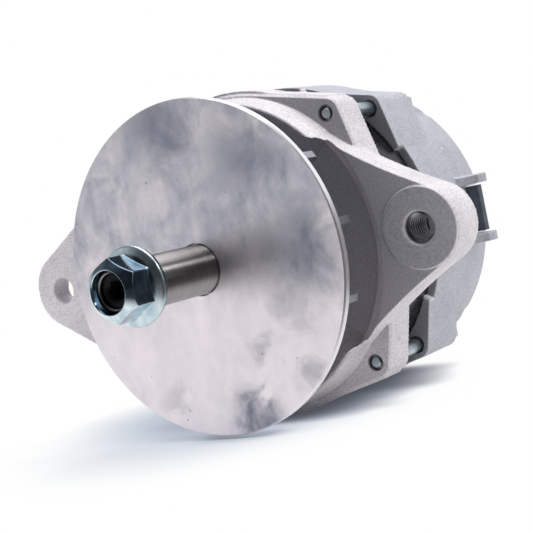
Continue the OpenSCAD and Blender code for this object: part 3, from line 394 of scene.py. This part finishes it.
def makeNutZinc():
    # bright zinc plate: mirror-smooth on the forged hexagon, duller and paler on the turned flange; the
    # hexagon's lower faces get a painted pale reflection and its upper faces a painted dark reflection
    p = nutZinc
    material, tree, shader, coords = startMaterial("zincPlatedForging")
    place = coords.outputs["Object"]
    cloud = addNode(tree, "ShaderNodeTexNoise", {
        "Vector": place, "Scale": perMetre(p["stainSize"]), "Detail": 4.0})
    grain = addNode(tree, "ShaderNodeTexNoise", {
        "Vector": place, "Scale": perMetre(p["grainSize"]), "Detail": 2.0})
    flat = addNode(tree, "ShaderNodeVectorMath", {0: place, 1: (1, 0, 1)}, operation="MULTIPLY")
    away = addNode(tree, "ShaderNodeVectorMath", {0: flat.outputs[0]}, operation="LENGTH")
    turned = addNode(tree, "ShaderNodeMapRange", {
        "Value": away.outputs["Value"], "From Min": p["hexOut"] * mm, "From Max": p["flangeFrom"] * mm})
    facing = addNode(tree, "ShaderNodeSeparateXYZ", {0: coords.outputs["Normal"]})
    floorReflection = addNode(tree, "ShaderNodeMapRange", {
        "Value": facing.outputs["Z"], "From Min": p["floorReflectionFrom"], "From Max": p["floorReflectionTo"]})
    outer = addNode(tree, "ShaderNodeMath", {0: turned.outputs["Result"], 1: floorReflection.outputs["Result"]},
                    operation="MAXIMUM")
    hexTone = addNode(tree, "ShaderNodeValToRGB", {"Fac": cloud.outputs["Fac"]}, stops=p["hex"])
    # painted reflection: the hexagon's upper faces are painted darker, like a reflection of something dark
    darkReflection = addNode(tree, "ShaderNodeMapRange", {
        "Value": facing.outputs["Z"], "From Min": p["darkReflectionFrom"], "From Max": p["darkReflectionTo"],
        "To Max": p["darkReflectionShare"]})
    hexDarkReflected = addNode(tree, "ShaderNodeMix", {
        "Factor": darkReflection.outputs["Result"], "A": hexTone.outputs["Color"], "B": colour(p["darkReflection"])},
        data_type="RGBA")
    flangeTone = addNode(tree, "ShaderNodeValToRGB", {"Fac": cloud.outputs["Fac"]}, stops=p["flange"])
    tone = addNode(tree, "ShaderNodeMix", {
        "Factor": outer.outputs[0], "A": hexDarkReflected.outputs["Result"], "B": flangeTone.outputs["Color"]},
        data_type="RGBA")
    rough = addNode(tree, "ShaderNodeMapRange", {
        "Value": turned.outputs["Result"], "To Min": p["rough"][0], "To Max": p["rough"][1]})
    bump = addNode(tree, "ShaderNodeBump", {
        "Height": grain.outputs["Fac"], "Strength": p["bump"], "Distance": p["bumpDepth"] * mm})
    setInputs(tree, shader, {
        "Metallic": 1.0, "Base Color": tone.outputs["Result"], "Roughness": rough.outputs["Result"],
        "Normal": bump.outputs["Normal"]})
    return material


plainOthers = {
    # name: (dark tone, light tone, stain size, roughness, grain size, bump, index of refraction)
    "lacqueredLaminations": ("#060608", "#111216", 5, 0.26, 2.2, 0.6, 1.5),
    "varnishedCopperWire": ("#5a2a14", "#8a4526", 6, 0.30, 0.8, 0.2, 1.55),
    "glassFilledNylon": ("#141416", "#242427", 5, 0.48, 0.7, 0.15, 1.53),
    "phenolicBoard": ("#39404b", "#4c535f", 5, 0.50, 0.7, 0.12, 1.6),
    "brushCarbon": ("#1b1b1d", "#303033", 2, 0.55, 0.4, 0.15, 1.7),
}
otherSkin = {"darkAt": 0.35, "lightAt": 0.65, "roughSpread": 0.06, "bumpDepth": 0.2}


def makePlain(name, dark, light, stainSize, roughness, grainSize, bumpStrength, ior):
    material, tree, shader, coords = startMaterial(name)
    place = coords.outputs["Object"]
    cloud = addNode(tree, "ShaderNodeTexNoise", {
        "Vector": place, "Scale": perMetre(stainSize), "Detail": 4.0})
    tone = addNode(tree, "ShaderNodeValToRGB", {"Fac": cloud.outputs["Fac"]},
                   stops=[(otherSkin["darkAt"], dark), (otherSkin["lightAt"], light)])
    grain = addNode(tree, "ShaderNodeTexNoise", {
        "Vector": place, "Scale": perMetre(grainSize), "Detail": 2.0})
    rough = addNode(tree, "ShaderNodeMapRange", {
        "Value": grain.outputs["Fac"], "To Min": roughness - otherSkin["roughSpread"],
        "To Max": roughness + otherSkin["roughSpread"]})
    bump = addNode(tree, "ShaderNodeBump", {
        "Height": grain.outputs["Fac"], "Strength": bumpStrength, "Distance": otherSkin["bumpDepth"] * mm})
    setInputs(tree, shader, {
        "IOR": ior, "Base Color": tone.outputs["Color"], "Roughness": rough.outputs["Result"],
        "Normal": bump.outputs["Normal"]})
    return material


made = {
    "fanPlate": makeFanPlate(), "frontCasting": makeCasting("blastedCastingFront", frontCast),
    "rearCasting": makeCasting("blastedCastingRear", rearCast), "shaftSteel": makeShaftSteel(),
    "nutZinc": makeNutZinc(),
}
for name, values in plainMetals.items():
    made[name] = makeMetal(name, *values)
for name, values in plainOthers.items():
    made[name] = makePlain(name, *values)

slotMaterials = {
    "fan_plate": "fanPlate", "ground_steel": "groundSteel", "zinc": "zincPlate",
    "front_casting": "frontCasting", "rear_casting": "rearCasting", "bearing_steel": "bearingSteel",
    "cage_brass": "cageBrass", "plate_steel": "pressedSteel", "forged_steel": "forgedSteel",
    "spring_steel": "springSteel", "black_lamination": "lacqueredLaminations",
    "varnished_copper": "varnishedCopperWire", "ring_copper": "ringCopper",
    "sink_aluminium": "sinkAluminium", "black_moulding": "glassFilledNylon",
    "board_plastic": "phenolicBoard", "carbon": "brushCarbon",
}
nodeMaterials = {"shaft": "shaftSteel", "through_bolts": "dullZinc"}  # these differ from their slot's
slotOf = {row["node"]: row["material_slot"] for row in frame["record"]["subparts"]}
for name, node in nodes.items():
    for slot in node.material_slots:
        slot.material = made[nodeMaterials.get(name, slotMaterials[slotOf[name]])]
print("materials made:", len(made))


# softened castings and nut

castingForm = {"voxel": 0.5, "passes": 3, "factor": 0.5, "keep": 0.36}
nutForm = {"voxel": 0.25, "passes": 4, "factor": 0.5, "keep": 0.5}


def applied(piece):
    graph = bpy.context.evaluated_depsgraph_get()
    mesh = bpy.data.meshes.new_from_object(piece.evaluated_get(graph))
    piece.modifiers.clear()
    piece.data = mesh


def dressed(piece, body, material, smooth=True):
    piece.data.materials.clear()
    piece.data.materials.append(made[material])
    for face in piece.data.polygons:
        face.use_smooth = smooth
    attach(piece, body)
    print(piece.name, "has", len(piece.data.polygons), "faces")


def softCopy(node, name, body, form, material):
    piece = addObject(name, nodes[node].data.copy())
    remesh = piece.modifiers.new("remesh", "REMESH")
    remesh.mode = "VOXEL"
    remesh.voxel_size = form["voxel"] * mm
    smooth = piece.modifiers.new("smooth", "SMOOTH")
    smooth.factor = form["factor"]
    smooth.iterations = form["passes"]
    thin = piece.modifiers.new("thin", "DECIMATE")
    thin.ratio = form["keep"]
    applied(piece)
    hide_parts(node)
    dressed(piece, body, material)


softCopy("front_housing", "frontHousingCast", "casing", castingForm, "frontCasting")
softCopy("rear_housing", "rearHousingCast", "casing", castingForm, "rearCasting")
softCopy("flange_nut", "flangeNutForged", "rotor", nutForm, "nutZinc")


# threads in the adjusting ear and in the nut, and a casting stub

threadForm = {
    "steps": 56,  # round one turn
    "fade": 0.4,  # turns over which the ridge rises at each end
    "buried": 0.25,  # millimetres that its root stands in the wall
    "rootHalf": 0.49, "crestHalf": 0.07,  # half widths, as shares of the pitch
}
earThread = {"axis": (96.4, 0), "start": 28.7, "end": 44.8, "pitch": 1.954, "wall": 6.45, "depth": 1.05}
nutThread = {"axis": (0, 0), "start": -56.4, "end": -55.0, "pitch": 1.27, "wall": 7.95, "depth": 0.7}


def closedBar(bm, rings):
    for here, there in zip(rings, rings[1:]):
        for k in range(4):
            bm.faces.new((here[k], there[k], there[(k + 1) % 4], here[(k + 1) % 4]))
    bm.faces.new(rings[0])
    bm.faces.new(list(reversed(rings[-1])))
    bmesh.ops.recalc_face_normals(bm, faces=bm.faces)


def pieceFrom(bm, name):
    mesh = bpy.data.meshes.new(name)
    bm.to_mesh(mesh)
    bm.free()
    return addObject(name, mesh)


def threadRidge(name, form, body, material):
    steps = threadForm["steps"]
    fade = threadForm["fade"] * steps
    rootHalf, crestHalf = threadForm["rootHalf"], threadForm["crestHalf"]
    root = form["wall"] + threadForm["buried"]
    count = int((form["end"] - form["start"]) / form["pitch"] * steps)
    x, z = form["axis"]
    bm = bmesh.new()
    rings = []
    for i in range(count + 1):
        angle = 2 * math.pi * i / steps
        y = form["start"] + form["pitch"] * i / steps
        rise = min(1.0, i / fade, (count - i) / fade)
        crest = form["wall"] - form["depth"] * rise
        profile = [(root, -rootHalf), (crest, -crestHalf), (crest, crestHalf), (root, rootHalf)]
        rings.append([bm.verts.new(((x + r * math.cos(angle)) * mm, (y + along * form["pitch"]) * mm,
                                    (z + r * math.sin(angle)) * mm)) for r, along in profile])
    closedBar(bm, rings)
    dressed(pieceFrom(bm, name), body, material, smooth=False)


threadRidge("adjustingThread", earThread, "casing", "cutThread")
threadRidge("flangeNutThread", nutThread, "rotor", "pressedSteel")

gateStub = {
    # from and to are x and z in millimetres, y is where it starts and ends in depth
    "from": (62.6, -33.2), "to": (67.6, -36.0), "y": (76.6, 80.6), "half": 1.1, "taper": 0.7, "round": 0.35,
}


def makeGateStub():  # left standing on the step of the lower side window
    first, last = Vector(gateStub["from"]), Vector(gateStub["to"])
    along = (last - first).normalized()
    across = Vector((-along.y, along.x)) * gateStub["half"]
    tip = across * gateStub["taper"]
    corners = [first - across, last - tip, last + tip, first + across]
    bm = bmesh.new()
    closedBar(bm, [[bm.verts.new((v.x * mm, y * mm, v.y * mm)) for v in corners] for y in gateStub["y"]])
    bmesh.ops.bevel(bm, geom=list(bm.edges), offset=gateStub["round"] * mm, segments=2, affect="EDGES",
                    profile=0.5)
    dressed(pieceFrom(bm, "windowGateStub"), "casing", "rearCasting")


makeGateStub()


# camera, floor and light

view = {
    "place": (342.37, -422.11, 20.89),  # millimetres, from the camera fitted to the photograph
    "forward": (-0.58625, 0.80877, -0.04692), "up": (0.13588, 0.15526, 0.97848),
    "lens": 83.7, "sensor": 36, "clipFrom": 0.01,
}


def makeCamera():
    forward = Vector(view["forward"]).normalized()
    right = forward.cross(Vector(view["up"])).normalized()
    up = right.cross(forward)
    camera = addObject("camera", bpy.data.cameras.new("camera"))
    turn = Matrix((right, up, -forward)).transposed().to_4x4()
    camera.matrix_world = Matrix.Translation(Vector(view["place"]) * mm) @ turn
    camera.data.lens = view["lens"]
    camera.data.sensor_width = view["sensor"]
    camera.data.clip_start = view["clipFrom"]
    bpy.context.scene.camera = camera


makeCamera()

floorForm = {
    # lengths in metres
    "half": 6.0, "gap": 0.3 * mm, "paper": "#f8f7f7", "white": "#ffffff", "samples": 16,
    "contactReach": 0.020, "contact": [(0.08, "#6d6d72"), (0.40, "#c6c6ca"), (0.75, "#ffffff")],
    # the soft shadow falls to the front left, away from this direction of the main light
    "mainLight": (0.80, 0.26, 0.55), "shadowReach": 0.10,
    "shadow": [(0.10, "#7f899b"), (0.46, "#cdd4e0"), (0.84, "#ffffff")],
    "washFrom": 0.015, "washTo": 0.10, "wash": 0.70,
    # polished metal sees the sweep end on the dark side of the studio, to the front right
    "darkSide": (0.95, -0.30, 0), "darkFrom": 0.045, "darkTo": 0.15, "darkLevel": 0.08,
}


def seenStraight(tree, rays):  # one for what the camera sees, also through a clear piece
    return addNode(tree, "ShaderNodeMath", {
        0: rays.outputs["Is Camera Ray"], 1: rays.outputs["Is Transmission Ray"]},
        operation="MAXIMUM").outputs[0]


def makeFloor():
    # white paper sweep, lit evenly up to the object, with the shadow where the object stands close over it
    p = floorForm
    material = bpy.data.materials.new("whitePaperSweep")
    material.use_nodes = True
    tree = material.node_tree
    tree.nodes.clear()
    near = addNode(tree, "ShaderNodeAmbientOcclusion", {"Distance": p["contactReach"]}, samples=p["samples"])
    contact = addNode(tree, "ShaderNodeValToRGB", {"Fac": near.outputs["AO"]}, stops=p["contact"])
    x, y, z = p["mainLight"]
    light = addNode(tree, "ShaderNodeCombineXYZ", {"X": x, "Y": y, "Z": z})
    around = addNode(tree, "ShaderNodeAmbientOcclusion", {
        "Distance": p["shadowReach"], "Normal": light.outputs[0]}, samples=p["samples"])
    shadow = addNode(tree, "ShaderNodeValToRGB", {"Fac": around.outputs["AO"]}, stops=p["shadow"])
    tone = addNode(tree, "ShaderNodeMix", {
        "Factor": 1.0, "A": contact.outputs["Color"], "B": shadow.outputs["Color"]},
        data_type="RGBA", blend_type="MULTIPLY")
    place = addNode(tree, "ShaderNodeTexCoord").outputs["Object"]
    sideways = addNode(tree, "ShaderNodeVectorMath", {0: place, 1: p["darkSide"]}, operation="DOT_PRODUCT")
    ends = addNode(tree, "ShaderNodeMapRange", {
        "Value": sideways.outputs["Value"], "From Min": p["darkFrom"], "From Max": p["darkTo"],
        "To Min": 1.0, "To Max": p["darkLevel"]}, interpolation_type="SMOOTHSTEP")
    rays = addNode(tree, "ShaderNodeLightPath")
    level = addNode(tree, "ShaderNodeMix", {
        "Factor": rays.outputs["Is Glossy Ray"], "A": 1.0, "B": ends.outputs["Result"]}, data_type="FLOAT")
    wash = addNode(tree, "ShaderNodeMapRange", {
        "Value": sideways.outputs["Value"], "From Min": p["washFrom"], "From Max": p["washTo"],
        "To Max": p["wash"]})
    washed = addNode(tree, "ShaderNodeMix", {
        "Factor": wash.outputs["Result"], "A": tone.outputs["Result"], "B": colour(p["white"])},
        data_type="RGBA")
    shown = addNode(tree, "ShaderNodeEmission", {
        "Color": washed.outputs["Result"], "Strength": level.outputs["Result"]})

    # it lights the object only as paper: the emission is for the camera and for polished or clear pieces
    paper = addNode(tree, "ShaderNodeBsdfDiffuse", {"Color": colour(p["paper"])})
    unlit = addNode(tree, "ShaderNodeMath", {0: seenStraight(tree, rays), 1: rays.outputs["Is Glossy Ray"]},
                    operation="MAXIMUM")
    out = addNode(tree, "ShaderNodeMixShader", {0: unlit.outputs[0], 1: paper.outputs[0], 2: shown.outputs[0]})
    addNode(tree, "ShaderNodeOutputMaterial", {"Surface": out.outputs[0]})
    h = p["half"]
    z = cadBox[0].z - p["gap"]
    mesh = bpy.data.meshes.new("floor")
    mesh.from_pydata([(-h, -h, z), (h, -h, z), (h, h, z), (-h, h, z)], [], [(0, 1, 2, 3)])
    mesh.materials.append(material)
    floor = addObject("floor", mesh)


makeFloor()

lamps = {
    # name: (place, aim, width, height, watts, colour, whether polished metal shows it)
    "topSoftbox": ((0.10, 0.16, 1.05), (0, 0.04, 0), 0.9, 0.9, 10.0, "#ffffff", True),
    "leftSoftbox": ((-0.85, -0.62, 0.22), (0, 0, 0), 0.5, 0.8, 4.4, "#fbf9fd", False),
    "rightSoftbox": ((0.86, 0.12, 0.66), (0.05, 0.06, 0), 0.8, 0.20, 3.4, "#fffdfb", True),
    "lowRightFill": ((0.80, -0.10, 0.02), (0.06, 0.08, -0.04), 0.4, 0.16, 0.7, "#ffffff", False),
}
for name, (place, aim, width, height, watts, tint, mirrored) in lamps.items():
    lamp = bpy.data.lights.new(name, "AREA")
    lamp.shape = "RECTANGLE"
    lamp.size, lamp.size_y = width, height
    lamp.energy = watts
    lamp.color = colour(tint)[:3]
    holder = addObject(name, lamp)
    holder.visible_glossy = mirrored
    holder.location = place
    holder.rotation_euler = (Vector(aim) - Vector(place)).to_track_quat("-Z", "Y").to_euler()

room = {
    # what polished metal shows of the studio: (direction, bright out to, fades by, in degrees, strength)
    "backdrop": ((0, 1, 0), 62, 86, 0.90),
    "leftWall": ((-0.88, -0.46, 0.12), 16, 52, 0.72),
    "frontLow": ((-0.56, -0.80, -0.24), 12, 34, 1.0),
    "ceiling": ((-0.1, 0.1, 1.0), 20, 60, 0.26),
}
roomAir = {"base": 0.04, "mirrored": "#f6f8fc", "fill": "#f2f5fb", "fillStrength": 0.22, "white": "#ffffff"}


def makeWorld():  # white for the camera, the room for polished metal, and an even fill for the rest
    world = bpy.data.worlds.new("studio")
    bpy.context.scene.world = world
    world.use_nodes = True
    tree = world.node_tree
    tree.nodes.clear()
    toward = addNode(tree, "ShaderNodeTexCoord").outputs["Generated"]
    glow = None
    for direction, inner, outer, strength in room.values():
        along = addNode(tree, "ShaderNodeVectorMath", {0: toward, 1: tuple(Vector(direction).normalized())},
                        operation="DOT_PRODUCT")
        part = addNode(tree, "ShaderNodeMapRange", {
            "Value": along.outputs["Value"], "From Min": math.cos(math.radians(outer)),
            "From Max": math.cos(math.radians(inner)), "To Max": strength},
            interpolation_type="SMOOTHSTEP").outputs["Result"]
        if glow is None:
            glow = addNode(tree, "ShaderNodeMath", {0: part, 1: roomAir["base"]}, operation="ADD").outputs[0]
        else:
            glow = addNode(tree, "ShaderNodeMath", {0: glow, 1: part}, operation="MAXIMUM").outputs[0]
    rays = addNode(tree, "ShaderNodeLightPath")
    fill = addNode(tree, "ShaderNodeBackground", {
        "Color": colour(roomAir["fill"]), "Strength": roomAir["fillStrength"]})
    glossy = addNode(tree, "ShaderNodeBackground", {"Color": colour(roomAir["mirrored"]), "Strength": glow})
    white = addNode(tree, "ShaderNodeBackground", {"Color": colour(roomAir["white"]), "Strength": 1.0})
    lit = addNode(tree, "ShaderNodeMixShader", {
        0: rays.outputs["Is Glossy Ray"], 1: fill.outputs[0], 2: glossy.outputs[0]})
    out = addNode(tree, "ShaderNodeMixShader", {
        0: seenStraight(tree, rays), 1: lit.outputs[0], 2: white.outputs[0]})
    addNode(tree, "ShaderNodeOutputWorld", {"Surface": out.outputs[0]})


makeWorld()
bpy.context.scene.view_settings.view_transform = "Standard"
print("studio ready")

bpy.context.view_layer.update()
